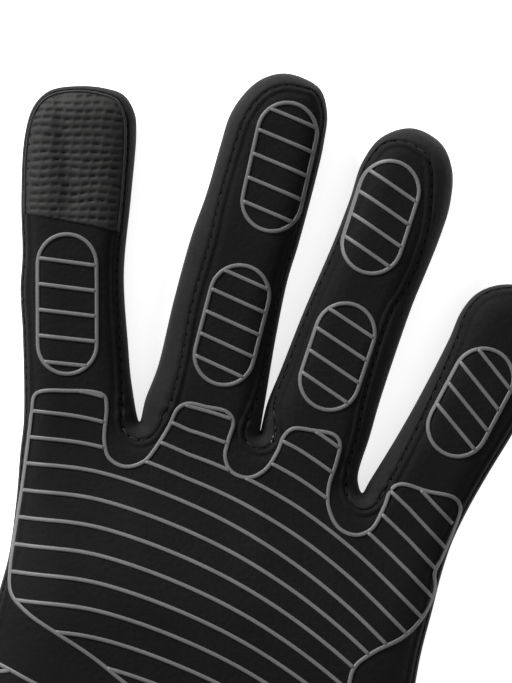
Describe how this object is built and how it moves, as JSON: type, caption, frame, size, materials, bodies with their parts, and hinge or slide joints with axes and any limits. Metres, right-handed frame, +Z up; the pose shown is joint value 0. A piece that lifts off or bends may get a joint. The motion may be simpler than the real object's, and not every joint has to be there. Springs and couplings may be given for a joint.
{
  "type": "touchscreen glove",
  "caption": "Left-hand knit winter glove with silicone grip lines on the palm, conductive fingertip patches and a rib cuff; fingers and thumb bend.",
  "frame": {"origin": "middle of the underside of the glove, on the surface that it lies on", "axes": "+Y from the cuff to the fingertips, +Z up out of the palm, the thumb on the -X side"},
  "size_m": [0.1872, 0.2456, 0.0207],
  "materials": {
    "palm_knit": "brushed jersey knit, matt",
    "back_knit": "brushed jersey knit, matt",
    "side_knit": "brushed jersey knit, matt",
    "rib_cuff": "rib knit, matt",
    "cuff_hem": "folded rib edge, matt",
    "wrist_elastic": "woven elastic",
    "silicone_grip": "printed silicone, satin",
    "conductive_patch": "waffle-textured conductive film, satin"
  },
  "bodies": {
    "hand": {"palm_panel": "palm_knit", "back_panel": "back_knit", "gusset_index_middle": "side_knit", "gusset_middle_ring": "side_knit", "gusset_ring_little": "side_knit", "cuff_palm_half": "rib_cuff", "cuff_back_half": "rib_cuff", "cuff_hem": "cuff_hem", "wrist_elastic": "wrist_elastic", "palm_grip_print": "silicone_grip", "thumb_grip_print": "silicone_grip"},
    "index_proximal": {"index_proximal_palm": "palm_knit", "index_proximal_back": "back_knit", "index_proximal_fourchette_outer": "side_knit", "index_proximal_grip_oval": "silicone_grip"},
    "index_distal": {"index_distal_palm": "palm_knit", "index_distal_back": "back_knit", "index_distal_fourchette_outer": "side_knit", "index_touch_patch": "conductive_patch"},
    "middle_proximal": {"middle_proximal_palm": "palm_knit", "middle_proximal_back": "back_knit", "middle_proximal_fourchette_inner": "side_knit", "middle_proximal_fourchette_outer": "side_knit", "middle_proximal_grip_oval": "silicone_grip"},
    "middle_distal": {"middle_distal_palm": "palm_knit", "middle_distal_back": "back_knit", "middle_distal_fourchette_inner": "side_knit", "middle_distal_fourchette_outer": "side_knit", "middle_distal_grip_oval": "silicone_grip"},
    "ring_proximal": {"ring_proximal_palm": "palm_knit", "ring_proximal_back": "back_knit", "ring_proximal_fourchette_inner": "side_knit", "ring_proximal_fourchette_outer": "side_knit", "ring_proximal_grip_oval": "silicone_grip"},
    "ring_distal": {"ring_distal_palm": "palm_knit", "ring_distal_back": "back_knit", "ring_distal_fourchette_inner": "side_knit", "ring_distal_fourchette_outer": "side_knit", "ring_distal_grip_oval": "silicone_grip"},
    "little_proximal": {"little_proximal_palm": "palm_knit", "little_proximal_back": "back_knit", "little_proximal_fourchette_inner": "side_knit", "little_proximal_grip_oval": "silicone_grip"},
    "little_distal": {"little_distal_palm": "palm_knit", "little_distal_back": "back_knit", "little_distal_fourchette_inner": "side_knit", "little_distal_grip_oval": "silicone_grip"},
    "thumb_proximal": {"thumb_proximal_palm": "palm_knit", "thumb_proximal_back": "back_knit"},
    "thumb_distal": {"thumb_distal_palm": "palm_knit", "thumb_distal_back": "back_knit", "thumb_touch_patch": "conductive_patch"}
  },
  "joints": [
    {"name": "index_knuckle", "type": "hinge", "parent": "hand", "child": "index_proximal", "pos_m": [-0.01801, 0.05124, 0.0115], "axis": [0.9914, -0.1305, 0], "range_deg": [0, 80], "stiffness_Nm_per_rad": 0.002},
    {"name": "index_middle_joint", "type": "hinge", "parent": "index_proximal", "child": "index_distal", "pos_m": [-0.0187, 0.08621, 0.0115], "axis": [0.9914, -0.1305, 0], "range_deg": [0, 95], "stiffness_Nm_per_rad": 0.002},
    {"name": "middle_knuckle", "type": "hinge", "parent": "hand", "child": "middle_proximal", "pos_m": [0.01241, 0.04769, 0.0115], "axis": [0.9659, -0.2588, 0], "range_deg": [0, 80], "stiffness_Nm_per_rad": 0.002},
    {"name": "middle_middle_joint", "type": "hinge", "parent": "middle_proximal", "child": "middle_distal", "pos_m": [0.02073, 0.08169, 0.0115], "axis": [0.9659, -0.2588, 0], "range_deg": [0, 95], "stiffness_Nm_per_rad": 0.002},
    {"name": "ring_knuckle", "type": "hinge", "parent": "hand", "child": "ring_proximal", "pos_m": [0.03743, 0.0425, 0.0115], "axis": [0.9511, -0.309, 0], "range_deg": [0, 80], "stiffness_Nm_per_rad": 0.002},
    {"name": "ring_middle_joint", "type": "hinge", "parent": "ring_proximal", "child": "ring_distal", "pos_m": [0.04739, 0.07238, 0.0115], "axis": [0.9511, -0.309, 0], "range_deg": [0, 95], "stiffness_Nm_per_rad": 0.002},
    {"name": "little_knuckle", "type": "hinge", "parent": "hand", "child": "little_proximal", "pos_m": [0.06402, 0.03044, 0.0115], "axis": [0.9272, -0.3746, 0], "range_deg": [0, 80], "stiffness_Nm_per_rad": 0.002},
    {"name": "little_middle_joint", "type": "hinge", "parent": "little_proximal", "child": "little_distal", "pos_m": [0.07266, 0.0468, 0.0115], "axis": [0.9272, -0.3746, 0], "range_deg": [0, 95], "stiffness_Nm_per_rad": 0.002},
    {"name": "thumb_knuckle", "type": "hinge", "parent": "hand", "child": "thumb_proximal", "pos_m": [-0.04737, -0.02316, 0.0135], "axis": [0.2924, 0.9563, 0], "range_deg": [0, 60], "stiffness_Nm_per_rad": 0.002},
    {"name": "thumb_middle_joint", "type": "hinge", "parent": "thumb_proximal", "child": "thumb_distal", "pos_m": [-0.0678, 0.00016, 0.0135], "axis": [0.7071, 0.7071, 0], "range_deg": [0, 70], "stiffness_Nm_per_rad": 0.002}
  ]
}
